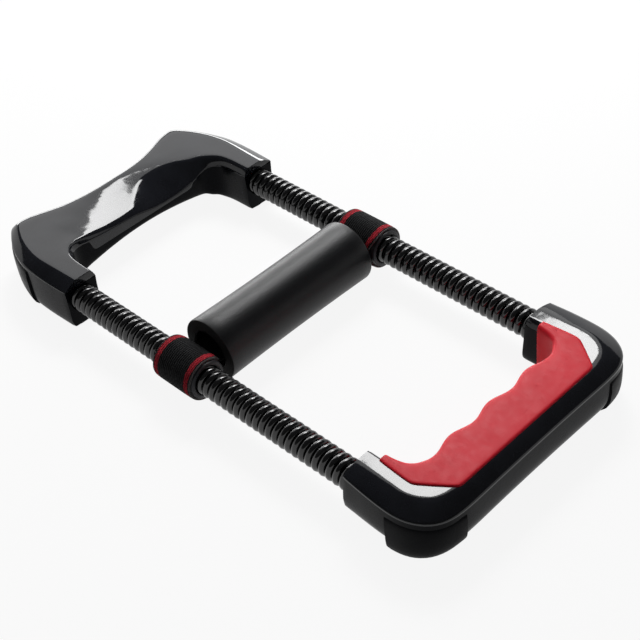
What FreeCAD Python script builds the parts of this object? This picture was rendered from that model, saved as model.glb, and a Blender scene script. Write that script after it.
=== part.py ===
import FreeCAD, Part

import math
import os

import Sketcher
from FreeCAD import Placement, Rotation, Vector

# Two-spring wrist and hand grip strengthener, in millimetres.
# Origin: centre of the outline on the surface that the feet stand on. +X runs along the springs
# from the arm rest towards the hand grip, +Y towards the left spring, +Z up.

doc = FreeCAD.newDocument("grip_strengthener")
sheet = doc.addObject("Spreadsheet::Sheet", "Sizes")

SIZES = [
    # springs
    ("spring_spacing", 120, "between the two spring axes"),
    ("spring_height", 15.5, "spring axis above the floor"),
    ("coil_diameter", 14, "outside of the coils"),
    ("wire_diameter", 3.6, "spring wire"),
    ("coil_pitch", 4.08, "from one coil to the next"),
    ("free_length", 186, "spring between the two socket faces"),
    ("socket_depth", 20.4, "spring inside each socket"),
    ("socket_gap", 0.3, "spring to socket and to sleeve, on the radius"),
    # spring plugs and their cross pins
    ("plug_stem_length", 16, "stem inside the coils"),
    ("plug_stem_gap", 0.15, "stem to the inside of the coils, on the radius"),
    ("plug_head_length", 9, "head behind the end of the spring"),
    ("plug_head_diameter", 12.6, "head, clear of the corner pads"),
    ("plug_end_gap", 0.2, "plug head to the bottom of its bore"),
    ("pin_diameter", 3, "cross pin through the plug head"),
    ("pin_gap", 0.05, "pin to its holes, on the radius"),
    ("pin_seat", 3.5, "depth of the pin in the floor of the socket"),
    # both shells
    ("arm_width", 19, "width of each arm"),
    ("underside_height", 2.5, "underside of the shells above the floor"),
    ("top_height", 28, "top of the shells above the floor"),
    ("wall", 2.5, "wall and floor of the hollows"),
    ("seam_band", 0.4, "upright edge of the upper shells at the seam"),
    ("joint_gap", 0.1, "between pieces that only lie against each other"),
    # arm rest
    ("rest_depth", 64.5, "socket face to the outer end"),
    ("rest_bay_depth", 25, "socket face to the cross bar"),
    ("rest_seam", 23.5, "seam above the floor"),
    ("rest_outer_slope", 7.6, "width of the outer slope of the top, along the arms"),
    ("rest_end_slope", 2, "width of the slope of the top at the outer end"),
    ("rest_inner_slope", 3.2, "width of the inner slope of the top"),
    ("rest_corner_round", 24, "outer corners"),
    ("rest_bay_round", 10, "inner corners"),
    ("rest_waist", 9, "how far the outer end is drawn in at its middle"),
    ("rest_flare", 39, "half width over the flared ends"),
    ("rest_waist_half", 20, "half width of the drawn-in middle"),
    ("rest_waist_round", 25, "rounding of the drawn-in middle"),
    ("rest_block_half", 44.9, "half width of the deep block under the top"),
    ("rest_block_bottom", 15.5, "underside of the deep block"),
    ("rest_arch_rise", 8, "rise of the arch under the cross bar"),
    ("rest_arch_span", 100, "span of the arch under the cross bar"),
    ("saddle_radius", 180, "radius of the saddle for the wrist"),
    ("saddle_tilt", 14, "fall of the saddle towards the bay, in degrees"),
    ("saddle_reach", 27, "how far the saddle reaches into the top"),
    ("scoop_radius", 46, "radius of the deeper hollow in the left half"),
    ("scoop_tilt", 30, "fall of this hollow towards the bay, in degrees"),
    ("scoop_offset", 18, "centre of this hollow from the middle"),
    ("scoop_reach", 18.4, "how far this hollow reaches into the top"),
    ("hollow_cutter", 120, "length of both round cutters"),
    ("rest_pad_length", 32.5, "corner pad along the arm"),
    ("rest_pad_width", 25.5, "corner pad along the cross bar"),
    ("rest_pad_top", 22.5, "top edge of the corner pad"),
    ("rest_sole_inset", 8, "sole of the pad in from the outside"),
    ("rest_screw_x", 17, "corner screws from the outer end"),
    ("rest_screw_y", 57, "corner screws from the middle"),
    ("rest_bar_screw_x", 24, "cross bar screws from the outer end"),
    ("rest_bar_screw_y", 20, "cross bar screws from the middle"),
    ("rest_hollow_length", 26, "hollow of each corner along X"),
    ("rest_hollow_width", 17, "hollow of each corner along Y"),
    ("rest_hollow_edge", 6, "hollow of each corner from the outside"),
    ("rest_hollow_round", 15, "rounding of each hollow at the outer corner"),
    # hand grip
    ("grip_depth", 48.5, "socket face to the outer end"),
    ("grip_bar", 25, "width of the cross bar of the shells"),
    ("grip_seam", 24.5, "seam above the floor"),
    ("grip_outer_slope", 9, "width of the outer slope of the top"),
    ("grip_inner_slope", 2.6, "width of the inner slope of the top"),
    ("grip_corner_round", 18, "outer corners"),
    ("grip_bay_round", 9, "inner corners behind the rubber"),
    ("grip_recess", 2.5, "recess of the arms for the rubber"),
    ("grip_pad_length", 23.5, "corner pad along the arm"),
    ("grip_pad_width", 20, "corner pad along the cross bar"),
    ("grip_pad_top", 22.5, "top edge of the corner pad"),
    ("grip_sole_inset", 1, "sole of the pad in from the outside"),
    ("grip_screw_x", 11, "corner screws from the outer end"),
    ("grip_screw_y", 57, "corner screws from the middle"),
    ("grip_bar_screw_x", 12, "cross bar screws from the outer end"),
    ("grip_bar_screw_y", 22, "cross bar screws from the middle"),
    ("grip_hollow_half", 48, "half length of the hollow in the cross bar"),
    # corner pads
    ("pad_thickness", 3, "thickness round the corner"),
    ("pad_proud", 0.3, "how far the pads stand out of the shells"),
    ("pad_plate", 1.5, "plate under the shells"),
    # rubber finger grip
    ("finger_pitch", 25, "from one ridge to the next"),
    ("finger_depth", 2.7, "depth of the finger grooves"),
    ("finger_bar", 28.7, "outer end to the middle of the finger waves"),
    ("rubber_tab", 7.5, "socket face to the tips of the rubber"),
    ("rubber_arm_half", 48, "half width between the rubber arms"),
    ("rubber_edge", 54.5, "half width of the top plate at its tips"),
    ("rubber_knee", 55.7, "half width of the top plate at its knees"),
    ("rubber_knee_x", 22, "knees from the outer end"),
    ("rubber_back", 44.3, "half width of the straight outer edge"),
    ("rubber_back_x", 6.3, "straight outer edge from the outer end"),
    ("rubber_plate", 2, "thickness of the top plate"),
    ("rubber_proud", 0.5, "top plate above the shell"),
    ("rubber_bend", 1.5, "bow of the inner corners"),
    # screws
    ("screw_diameter", 3, "thread of the shell screws"),
    ("screw_gap", 0.1, "screw to its hole, on the radius"),
    ("screw_head", 5.6, "head of the shell screws"),
    ("screw_head_height", 2, "height of the head"),
    ("screw_length", 11, "thread below the head"),
    ("screw_sink", 1.7, "underside to the head, clear of the plate of the pad"),
    ("boss_diameter", 7, "bosses round the screws"),
    # roller, sleeves and strap
    ("roller_place", -6.4, "roller axis from the middle of the outline"),
    ("roller_length", 93, "foam tube"),
    ("roller_height", 16.4, "roller axis above the floor"),
    ("roller_end_radius", 16.2, "foam tube at its ends"),
    ("roller_waist", 0.5, "how much thinner the foam is at its middle, on the radius"),
    ("roller_bore", 10, "radius of the hole through the foam"),
    ("sleeve_length", 27.5, "sleeve along the spring"),
    ("sleeve_diameter", 19.2, "outside of the sleeve"),
    ("strap_width", 25, "webbing round the sleeves"),
    ("strap_thickness", 1.4, "webbing"),
    ("strap_gap", 0.1, "webbing to the sleeve, on the radius"),
    ("strap_neck_width", 18, "gathered webbing inside the foam"),
]


class Size:
    """A length that knows its number and the sheet expression that gives it."""

    def __init__(self, number, text):
        self.number = number
        self.text = text

    def __add__(self, other):
        other = as_size(other)
        return Size(self.number + other.number, f"({self.text} + {other.text})")

    def __sub__(self, other):
        other = as_size(other)
        return Size(self.number - other.number, f"({self.text} - {other.text})")

    def __mul__(self, other):
        other = as_size(other)
        return Size(self.number * other.number, f"({self.text} * {other.text})")

    def __truediv__(self, other):
        other = as_size(other)
        return Size(self.number / other.number, f"({self.text} / {other.text})")

    def __neg__(self):
        return self * -1


def square_root(size):
    return Size(math.sqrt(size.number), f"sqrt({size.text})")


def as_size(value):
    return value if isinstance(value, Size) else Size(float(value), repr(float(value)))


def fill_sheet():
    """Write every driving size into the sheet and hand back the sizes by name."""
    sizes = {}
    for row, (name, value, meaning) in enumerate(SIZES, start=1):
        sheet.set(f"A{row}", name)
        sheet.set(f"B{row}", str(value))
        sheet.set(f"C{row}", meaning)
        sheet.setAlias(f"B{row}", name)
        sizes[name] = Size(float(value), f"Sizes.{name}")
    doc.recompute()
    return sizes


class Sizes:
    """The driving sizes as attributes: S.arm_width and so on."""

    def __init__(self, sizes):
        self.__dict__.update(sizes)


S = Sizes(fill_sheet())
ZERO = as_size(0)


def bind(feature, **values):
    """Set properties of a feature from sizes, so that they follow the sheet."""
    for name, value in values.items():
        setattr(feature, name, as_size(value).number)
        feature.setExpression(name, as_size(value).text)


def place(feature, x=0, y=0, z=0, axis=Vector(0, 0, 1), degrees=0):
    """Give a feature its Placement, with the position bound to the sheet."""
    feature.Placement = Placement(Vector(0, 0, 0), Rotation(axis, degrees))
    for letter, value in zip("xyz", (x, y, z)):
        feature.setExpression(f"Placement.Base.{letter}", as_size(value).text)


# ---------------------------------------------------------------- sketches


def new_body(label):
    body = doc.addObject("PartDesign::Body", label)
    body.Label = label
    return body


def origin_feature(body, role):
    return next(f for f in body.Origin.OriginFeatures if f.Role == role)


def corner(x, y, round_radius=None, bow=None):
    """One corner of an outline. bow bends the edge to the next corner by that much, to the
    right of the way the outline is drawn."""
    return (as_size(x), as_size(y), round_radius, bow)


def flat(point):
    return Vector(point[0].number, point[1].number, 0)


def rounding(before, here, after, radius):
    """Where an edge rounding starts and ends, its centre, and whether it turns left."""
    back = (before - here).normalize()
    ahead = (after - here).normalize()
    half = back.getAngle(ahead) / 2
    run = radius / math.tan(half)
    centre = here + (back + ahead).normalize() * (radius / math.sin(half))
    return here + back * run, here + ahead * run, centre, back.cross(ahead).z < 0


def arc_geometry(start, end, centre, radius, left):
    """A sketch arc, with the position of its start and its end point (1 or 2)."""
    first, last = (start, end) if left else (end, start)
    circle = Part.Circle(centre, Vector(0, 0, 1), radius)
    angles = [math.atan2(p.y - centre.y, p.x - centre.x) for p in (first, last)]
    arc = Part.ArcOfCircle(circle, angles[0], angles[1])
    return arc, (1, 2) if left else (2, 1)


def pin_point(sketch, geometry, position, point):
    """Hold one point of a sketch at an (x, y) pair of sizes."""
    for kind, value in (("DistanceX", point[0]), ("DistanceY", point[1])):
        constraint = Sketcher.Constraint(kind, -1, 1, geometry, position, value.number)
        index = sketch.addConstraint(constraint)
        sketch.setExpression(f"Constraints[{index}]", value.text)


def set_radius(sketch, arc, radius):
    index = sketch.addConstraint(Sketcher.Constraint("Radius", arc, radius.number))
    sketch.setExpression(f"Constraints[{index}]", radius.text)


def draw_outline(sketch, corners):
    """Draw one closed outline through its corners, fully held by the sheet."""
    count = len(corners)
    spots = [flat(c) for c in corners]
    starts, ends, arcs = list(spots), list(spots), {}
    for n, (_, _, radius, _) in enumerate(corners):
        if radius is not None:
            before, after = spots[n - 1], spots[(n + 1) % count]
            end, start, centre, left = rounding(before, spots[n], after, radius.number)
            ends[n], starts[n] = end, start
            arcs[n] = (end, start, centre, left)
    edges, edge_ends = [], []
    for n, (x, y, _, bow) in enumerate(corners):
        after = (n + 1) % count
        if bow is None:
            line = Part.LineSegment(starts[n], ends[after])
            edges.append(sketch.addGeometry(line, False))
            edge_ends.append((1, 2))
            continue
        bow = as_size(bow)
        run_x, run_y = corners[after][0] - x, corners[after][1] - y
        chord_squared = run_x * run_x + run_y * run_y
        radius = chord_squared / (bow * 8) + bow / 2
        chord = ends[after] - starts[n]
        side = Vector(chord.y, -chord.x, 0).normalize()
        middle = (starts[n] + ends[after]) * 0.5
        centre = middle - side * (radius.number - bow.number)
        left = bow.number > 0
        arc, order = arc_geometry(starts[n], ends[after], centre, abs(radius.number), left)
        edges.append(sketch.addGeometry(arc, False))
        edge_ends.append(order)
        set_radius(sketch, edges[-1], radius if left else -radius)
    for n in range(count):
        before = n - 1
        if n not in arcs:
            joined = (edges[before], edge_ends[before][1], edges[n], edge_ends[n][0])
            sketch.addConstraint(Sketcher.Constraint("Coincident", *joined))
            pin_point(sketch, edges[n], edge_ends[n][0], corners[n])
            continue
        end, start, centre, left = arcs[n]
        radius = corners[n][2]
        arc, order = arc_geometry(end, start, centre, radius.number, left)
        arc_index = sketch.addGeometry(arc, False)
        point_index = sketch.addGeometry(Part.Point(spots[n]), True)
        pin_point(sketch, point_index, 1, corners[n])
        for edge in (edges[before], edges[n]):
            sketch.addConstraint(Sketcher.Constraint("PointOnObject", point_index, 1, edge))
        into = (edges[before], edge_ends[before][1], arc_index, order[0])
        out_of = (arc_index, order[1], edges[n], edge_ends[n][0])
        sketch.addConstraint(Sketcher.Constraint("Tangent", *into))
        sketch.addConstraint(Sketcher.Constraint("Tangent", *out_of))
        set_radius(sketch, arc_index, radius)


def new_sketch(body, name, outlines, height=ZERO, role="XY_Plane"):
    """A sketch on one of the body's own planes, lifted by height, holding closed outlines."""
    sketch = body.newObject("Sketcher::SketchObject", name)
    sketch.AttachmentSupport = [(origin_feature(body, role), "")]
    sketch.MapMode = "FlatFace"
    sketch.setExpression("AttachmentOffset.Base.z", as_size(height).text)
    for corners in outlines:
        draw_outline(sketch, corners)
    return sketch


def other_side(corners):
    """The same outline mirrored in Y, with its corners in the opposite order."""
    bows = [c[3] for c in corners]
    count = len(corners)
    mirrored = []
    for n in reversed(range(count)):
        x, y, radius, _ = corners[n]
        mirrored.append((x, -y, radius, bows[n - 1]))
    return mirrored


def rectangle(x_low, x_high, y_low, y_high):
    return [
        corner(x_low, y_low),
        corner(x_high, y_low),
        corner(x_high, y_high),
        corner(x_low, y_high),
    ]


# ---------------------------------------------------------------- PartDesign steps


def add_pad(body, name, outlines, bottom, top):
    pad = body.newObject("PartDesign::Pad", name)
    pad.Profile = new_sketch(body, name + "_sketch", outlines, bottom)
    bind(pad, Length=as_size(top) - bottom)
    doc.recompute()
    return pad


def cut_pocket(body, name, outlines, bottom, top):
    """Remove what lies inside the outlines between two heights."""
    before = body.Shape.Volume
    pocket = body.newObject("PartDesign::Pocket", name)
    pocket.Profile = new_sketch(body, name + "_sketch", outlines, top)
    bind(pocket, Length=as_size(top) - bottom)
    doc.recompute()
    if not body.Shape.Volume < before:
        raise RuntimeError(f"{body.Label}: {name} cut nothing")
    return pocket


def add_slopes(body, name, low_outline, low, high_outline, high):
    """Sloping sides between two outlines with matching corners."""
    loft = body.newObject("PartDesign::AdditiveLoft", name)
    loft.Profile = new_sketch(body, name + "_low", [low_outline], low)
    loft.Sections = [new_sketch(body, name + "_high", [high_outline], high)]
    loft.Ruled = True
    doc.recompute()
    return loft


def round_feature(body, name, kind, radius, length, position, axis=None, degrees=0):
    """A round boss ("Additive") or hole ("Subtractive") at a position, along Z unless turned."""
    before = body.Shape.Volume
    feature = body.newObject(f"PartDesign::{kind}Cylinder", name)
    bind(feature, Radius=radius, Height=length)
    place(feature, *position, axis=axis or Vector(0, 0, 1), degrees=degrees)
    doc.recompute()
    if kind == "Subtractive" and not body.Shape.Volume < before:
        raise RuntimeError(f"{body.Label}: {name} cut nothing")
    return feature


def cylinder(name, radius, length, position, axis=None, degrees=0):
    feature = doc.addObject("Part::Cylinder", name)
    bind(feature, Radius=radius, Height=length)
    place(feature, *position, axis=axis or Vector(0, 0, 1), degrees=degrees)
    return feature


ALONG_X = {"axis": Vector(0, 1, 0), "degrees": 90}

# ---------------------------------------------------------------- places shared by the pieces

half_length = (S.rest_depth + S.free_length + S.grip_depth) / 2
rest_face = S.rest_depth - half_length
grip_face = half_length - S.grip_depth
spring_side = S.spring_spacing / 2
arm_inner = spring_side - S.arm_width / 2
arm_outer = spring_side + S.arm_width / 2
coil_radius = S.coil_diameter / 2
socket_radius = coil_radius + S.socket_gap
bore_length = S.socket_depth + S.plug_head_length + S.plug_end_gap
SIDES = (("left", 1), ("right", -1))


class End:
    """One end of the strengthener. way is +1 where the end points along +X, -1 along -X."""

    def __init__(self, name, way, face, depth, seam, corner_round, pad, screws):
        self.name = name
        self.way = way
        self.face = face
        self.outer = half_length * way
        self.depth = depth
        self.seam = seam
        self.corner_round = corner_round
        self.pad_length, self.pad_width, self.pad_top, self.sole_inset = pad
        self.screws = screws

    def from_face(self, distance):
        return self.face + as_size(distance) * self.way

    def from_outer(self, distance):
        return self.outer - as_size(distance) * self.way


# the arch under the cross bar of the arm rest, and how far it lifts the bar screws
arch_radius = (S.rest_arch_span * S.rest_arch_span / (S.rest_arch_rise * 4) + S.rest_arch_rise) / 2
arch_centre = S.underside_height + S.rest_arch_rise - arch_radius
bar_screw_foot = arch_centre + square_root(
    arch_radius * arch_radius - S.rest_bar_screw_y * S.rest_bar_screw_y
)

rest = End(
    "rest",
    -1,
    rest_face,
    S.rest_depth,
    S.rest_seam,
    S.rest_corner_round,
    (S.rest_pad_length, S.rest_pad_width, S.rest_pad_top, S.rest_sole_inset),
    (
        (S.rest_screw_x, S.rest_screw_y, S.underside_height),
        (S.rest_bar_screw_x, S.rest_bar_screw_y, bar_screw_foot),
    ),
)
grip = End(
    "grip",
    1,
    grip_face,
    S.grip_depth,
    S.grip_seam,
    S.grip_corner_round,
    (S.grip_pad_length, S.grip_pad_width, S.grip_pad_top, S.grip_sole_inset),
    (
        (S.grip_screw_x, S.grip_screw_y, S.underside_height),
        (S.grip_bar_screw_x, S.grip_bar_screw_y, S.underside_height),
    ),
)


def rest_outline(outer_slope=ZERO, inner_slope=ZERO, end_slope=ZERO):
    """The arm rest seen from above: two arms and a cross bar with a drawn-in outer end."""
    outer, inner = as_size(outer_slope), as_size(inner_slope)
    end = rest.outer + end_slope
    waist = end + S.rest_waist
    bay = rest.from_face(S.rest_bay_depth) - inner
    half = [
        corner(bay, arm_inner + inner, S.rest_bay_round + inner),
        corner(rest.face, arm_inner + inner),
        corner(rest.face, arm_outer - outer),
        corner(end, arm_outer - outer, S.rest_corner_round - outer),
        corner(end, S.rest_flare, S.rest_waist_round),
        corner(waist, S.rest_waist_half, S.rest_waist_round),
    ]
    return half + other_side(half)


def grip_outline(outer_slope=ZERO, inner_slope=ZERO):
    """The hand grip shells seen from above, with the recess that the rubber fills."""
    outer, inner = as_size(outer_slope), as_size(inner_slope)
    end = grip.outer - outer
    bay = grip.from_outer(S.grip_bar) + inner
    tab = grip.from_face(S.rubber_tab) - S.joint_gap
    recess = arm_inner + S.grip_recess
    half = [
        corner(end, arm_outer - outer, S.grip_corner_round - outer),
        corner(grip.face, arm_outer - outer),
        corner(grip.face, arm_inner + inner),
        corner(tab, arm_inner + inner),
        corner(tab, recess + inner),
        corner(bay, recess + inner, S.grip_bay_round),
    ]
    return half + other_side(half)


def cut_sockets(body, end):
    """The bore for each spring and its plug, open upwards, and the seat of the cross pin."""
    for side, sign in SIDES:
        y = spring_side * sign
        start = end.face if end.way > 0 else end.from_face(bore_length)
        low, high = start, start + bore_length
        hole = (low, y, S.spring_height)
        round_feature(body, f"bore_{side}", "Subtractive", socket_radius, bore_length, hole, **ALONG_X)
        slot = rectangle(low, high, y - socket_radius, y + socket_radius)
        cut_pocket(body, f"slot_{side}", [slot], S.spring_height, end.seam)
        pin_x = end.from_face(S.socket_depth + S.plug_head_length / 2)
        seat = S.spring_height - socket_radius - S.pin_seat
        hole = (pin_x, y, seat)
        radius = S.pin_diameter / 2 + S.pin_gap
        round_feature(body, f"pin_seat_{side}", "Subtractive", radius, S.spring_height - seat, hole)


def screw_places(end):
    """Where each shell screw of one end goes in: x, y and the underside there."""
    return [(end.from_outer(x), y * sign, foot) for x, y, foot in end.screws for _, sign in SIDES]


def screw_tip(foot):
    return foot + S.screw_sink + S.screw_head_height + S.screw_length


def bore_for_screws(body, end, top):
    """Through holes in a lower shell, with sinks for the heads."""
    for n, (x, y, foot) in enumerate(screw_places(end)):
        radius = S.screw_diameter / 2 + S.screw_gap
        round_feature(body, f"screw_hole_{n}", "Subtractive", radius, top - foot, (x, y, foot))
        radius = S.screw_head / 2 + S.screw_gap
        # the sink starts at the floor, so that it opens an arched underside fully
        depth = foot + S.screw_sink + S.screw_head_height
        round_feature(body, f"head_hole_{n}", "Subtractive", radius, depth, (x, y, ZERO))


def thread_for_screws(body, end, bottom):
    """Blind holes in an upper shell for the threads."""
    for n, (x, y, foot) in enumerate(screw_places(end)):
        radius = S.screw_diameter / 2 + S.screw_gap
        length = screw_tip(foot) + S.screw_gap - bottom
        round_feature(body, f"screw_hole_{n}", "Subtractive", radius, length, (x, y, bottom))


def pad_corner(end, sign, inset, thickness=None):
    """The corner that a pad covers, seen from above: filled, or a band of some thickness."""
    inset = as_size(inset)
    away = end.outer - inset * end.way
    side = arm_outer - inset
    inner_x = end.from_outer(end.pad_length)
    inner_y = arm_outer - end.pad_width
    outline = [
        corner(inner_x, side),
        corner(away, side, end.corner_round - inset),
        corner(away, inner_y),
    ]
    if thickness is None:
        outline.append(corner(inner_x, inner_y))
    else:
        near = away - as_size(thickness) * end.way
        outline += [
            corner(near, inner_y),
            corner(near, side - thickness, end.corner_round - inset - thickness),
            corner(inner_x, side - thickness),
        ]
    return outline if sign > 0 else other_side(outline)


# the cutters for the pads start outside the shell, so that they leave no skin
pad_cutter_inset = -S.pad_proud - S.pad_proud


def room_for_bands(body, end):
    """Room in a shell for the upright bands of the corner pads."""
    deep = S.pad_thickness + S.joint_gap - pad_cutter_inset
    for side, sign in SIDES:
        band = pad_corner(end, sign, pad_cutter_inset, deep)
        top = end.pad_top + S.joint_gap
        cut_pocket(body, f"pad_band_{side}", [band], S.underside_height, top)


def recess_for_pads(body, end):
    """Room in a lower shell for the corner pads: their bands and the plates below."""
    room_for_bands(body, end)
    plate_top = S.underside_height + S.pad_plate + S.joint_gap
    for side, sign in SIDES:
        plate = pad_corner(end, sign, pad_cutter_inset)
        cut_pocket(body, f"pad_plate_{side}", [plate], S.underside_height, plate_top)


# ---------------------------------------------------------------- arm rest


def rest_hollow(sign):
    """The hollow in one corner of the arm rest, round where the corner is round."""
    far = rest.from_outer(S.rest_hollow_edge)
    near = far + S.rest_hollow_length
    high = arm_outer - S.rest_hollow_edge
    low = high - S.rest_hollow_width
    hollow = [
        corner(far, low),
        corner(near, low),
        corner(near, high),
        corner(far, high, S.rest_hollow_round),
    ]
    return hollow if sign > 0 else other_side(hollow)


def make_rest_lower_shell():
    body = new_body("rest_lower_shell")
    add_pad(body, "tray", [rest_outline()], S.underside_height, rest.seam)
    half = S.rest_block_half + S.joint_gap
    room = rectangle(rest.outer - S.wall, rest.face - S.wall, -half, half)
    cut_pocket(body, "block_room", [room], S.rest_block_bottom - S.joint_gap, rest.seam)
    start = (rest.outer - S.wall, ZERO, arch_centre)
    arch_length = S.rest_depth + S.wall * 2
    round_feature(body, "arch", "Subtractive", arch_radius, arch_length, start, **ALONG_X)
    cut_sockets(body, rest)
    floor = S.underside_height + S.wall * 2
    for side, sign in SIDES:
        cut_pocket(body, f"hollow_{side}", [rest_hollow(sign)], floor, rest.seam)
    for n, (x, y, _) in enumerate(screw_places(rest)[:2]):
        boss = (x, y, S.underside_height + S.wall)
        height = S.rest_block_bottom - boss[2]
        round_feature(body, f"boss_{n}", "Additive", S.boss_diameter / 2, height, boss)
    recess_for_pads(body, rest)
    bore_for_screws(body, rest, S.rest_block_bottom)
    return body


def arm_outline(sign, outer_slope, inner_slope):
    """One arm of the arm rest seen from above, from the bay to the socket face."""
    near = rest.from_face(S.rest_bay_depth - S.joint_gap)
    arm = [
        corner(near, arm_inner + inner_slope),
        corner(rest.face, arm_inner + inner_slope),
        corner(rest.face, arm_outer - outer_slope),
        corner(near, arm_outer - outer_slope),
    ]
    return arm if sign > 0 else other_side(arm)


def cut_hollow(body, name, radius, fall, reach, y):
    """A round hollow in the top of the arm rest that falls towards the bay."""
    tilt = math.radians(fall.number)
    # the lowest line of the cutter meets the top surface a reach in from the bay
    along = S.hollow_cutter / 2
    x = rest.from_face(S.rest_bay_depth) - reach - along * math.cos(tilt)
    z = S.top_height + radius / as_size(math.cos(tilt)) + along * math.sin(tilt)
    turn = {"axis": Vector(0, 1, 0), "degrees": 90 + fall.number}
    round_feature(body, name, "Subtractive", radius, S.hollow_cutter, (x, y, z), **turn)


def make_rest_upper_shell():
    body = new_body("rest_upper_shell")
    edge = rest.seam + S.seam_band
    add_pad(body, "block", [rest_outline()], S.rest_block_bottom, edge)
    slopes = rest_outline(S.rest_outer_slope, S.rest_inner_slope, S.rest_end_slope)
    add_slopes(body, "top", rest_outline(), edge, slopes, S.top_height)
    past = S.wall
    strips = []
    for _, sign in SIDES:
        edges = sorted(
            (S.rest_block_half * sign, (arm_outer + past) * sign), key=lambda edge: edge.number
        )
        strips.append(rectangle(rest.outer - past, rest.face + past, edges[0], edges[1]))
    cut_pocket(body, "arms_room", strips, S.rest_block_bottom, rest.seam)
    cut_hollow(body, "saddle", S.saddle_radius, S.saddle_tilt, S.saddle_reach, ZERO)
    cut_hollow(body, "scoop", S.scoop_radius, S.scoop_tilt, S.scoop_reach, S.scoop_offset)
    # the hollows end at the arms, whose tops stay flat as far as the bay
    for side, sign in SIDES:
        low = arm_outline(sign, ZERO, ZERO)
        high = arm_outline(sign, S.rest_outer_slope, S.rest_inner_slope)
        add_slopes(body, f"arm_top_{side}", low, edge, high, S.top_height)
    for n, (x, y, _) in enumerate(screw_places(rest)[:2]):
        boss = (x, y, S.rest_block_bottom)
        height = rest.seam - S.rest_block_bottom
        round_feature(body, f"boss_{n}", "Additive", S.boss_diameter / 2, height, boss)
    room_for_bands(body, rest)
    thread_for_screws(body, rest, S.rest_block_bottom)
    return body


# ---------------------------------------------------------------- hand grip


def make_grip_lower_shell():
    body = new_body("grip_lower_shell")
    add_pad(body, "tray", [grip_outline()], S.underside_height, grip.seam)
    cut_sockets(body, grip)
    hollow = rectangle(
        grip.from_outer(S.grip_bar - S.wall),
        grip.from_outer(S.wall),
        -S.grip_hollow_half,
        S.grip_hollow_half,
    )
    cut_pocket(body, "hollow", [hollow], S.underside_height + S.wall, grip.seam)
    hollow_floor = S.underside_height + S.wall
    for n, (x, y, _) in enumerate(screw_places(grip)[2:]):
        height = S.spring_height - hollow_floor - S.joint_gap
        where = (x, y, hollow_floor)
        round_feature(body, f"boss_{n}", "Additive", S.boss_diameter / 2, height, where)
    for n, (x, y, _) in enumerate(screw_places(grip)[:2]):
        # the corners are solid, so the bosses of the upper shell get a well there
        radius = S.boss_diameter / 2 + S.joint_gap
        where = (x, y, S.spring_height)
        depth = grip.seam - S.spring_height
        round_feature(body, f"well_{n}", "Subtractive", radius, depth, where)
    recess_for_pads(body, grip)
    bore_for_screws(body, grip, S.spring_height)
    return body


def rubber_top():
    return S.top_height + S.rubber_proud


def rubber_plate_bottom():
    return rubber_top() - S.rubber_plate


def finger_line():
    """The wavy inner edge of the rubber from its middle ridge to the tip of the +Y tab."""
    wave = grip.from_outer(S.finger_bar)
    quarter = S.finger_pitch / 4
    bow = S.finger_depth / 2
    return [
        corner(wave, -quarter, bow=-bow),
        corner(wave, quarter, bow=bow),
        corner(wave, quarter * 3, bow=-bow),
        corner(wave, quarter * 5, bow=bow),
        corner(wave, quarter * 7, bow=S.rubber_bend),
        corner(grip.from_face(S.rubber_tab + S.grip_recess), S.rubber_arm_half),
        corner(grip.from_face(S.rubber_tab), S.rubber_arm_half),
    ]


def rubber_outline(outer_corners):
    """A closed outline: the finger waves, then the given outer corners of the +Y half."""
    line = finger_line()
    upper = line[1:] + outer_corners
    lower = other_side(upper)
    return [line[0]] + upper + lower[:-1]


def plate_outline(grow):
    """The top plate of the rubber, or the room for it when it is grown."""
    grow = as_size(grow)
    return [
        corner(grip.from_face(S.rubber_tab) - grow, S.rubber_edge + grow),
        corner(grip.from_outer(S.rubber_knee_x), S.rubber_knee + grow),
        corner(grip.from_outer(S.rubber_back_x) + grow, S.rubber_back + grow),
    ]


def make_grip_upper_shell():
    body = new_body("grip_upper_shell")
    edge = grip.seam + S.seam_band
    add_pad(body, "lid", [grip_outline()], grip.seam, edge)
    slopes = grip_outline(S.grip_outer_slope, S.grip_inner_slope)
    add_slopes(body, "top", grip_outline(), edge, slopes, S.top_height)
    # the rubber plate lies in a shallow bed
    half = plate_outline(S.joint_gap)
    inner = grip.from_face(S.rubber_tab) - S.joint_gap
    bed = [corner(inner, half[0][1])] + half[1:]
    cut_pocket(
        body, "bed", [bed + other_side(bed)], rubber_plate_bottom() - S.joint_gap, S.top_height
    )
    for n, (x, y, _) in enumerate(screw_places(grip)):
        height = grip.seam - S.spring_height
        where = (x, y, S.spring_height)
        round_feature(body, f"boss_{n}", "Additive", S.boss_diameter / 2, height, where)
    thread_for_screws(body, grip, S.spring_height)
    return body


def make_finger_grip():
    """Red rubber over the inside of the hand grip: four finger grooves and a flat top plate."""
    body = new_body("finger_grip")
    recess = arm_inner + S.grip_recess - S.joint_gap
    back = grip.from_outer(S.grip_bar) - S.joint_gap
    wall_corners = [
        corner(grip.from_face(S.rubber_tab), recess),
        corner(back, recess, S.grip_bay_round + S.joint_gap),
    ]
    bottom = S.underside_height + S.pad_proud
    top = rubber_plate_bottom()
    add_pad(body, "inner_wall", [rubber_outline(wall_corners)], bottom, top)
    add_pad(body, "top_plate", [rubber_outline(plate_outline(ZERO))], top, rubber_top())
    return body


# ---------------------------------------------------------------- pads, plugs, pins and screws


def make_pad(end, side, sign):
    """A rubber corner pad: a band round the corner, a plate under it and the sole it stands on."""
    body = new_body(f"{end.name}_pad_{side}")
    under = S.underside_height
    proud = -S.pad_proud
    band = pad_corner(end, sign, proud, S.pad_thickness + S.pad_proud)
    add_pad(body, "band", [band], under, end.pad_top)
    add_pad(body, "plate", [pad_corner(end, sign, proud)], under, under + S.pad_plate)
    add_pad(body, "sole", [pad_corner(end, sign, end.sole_inset)], ZERO, under)
    return body


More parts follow.
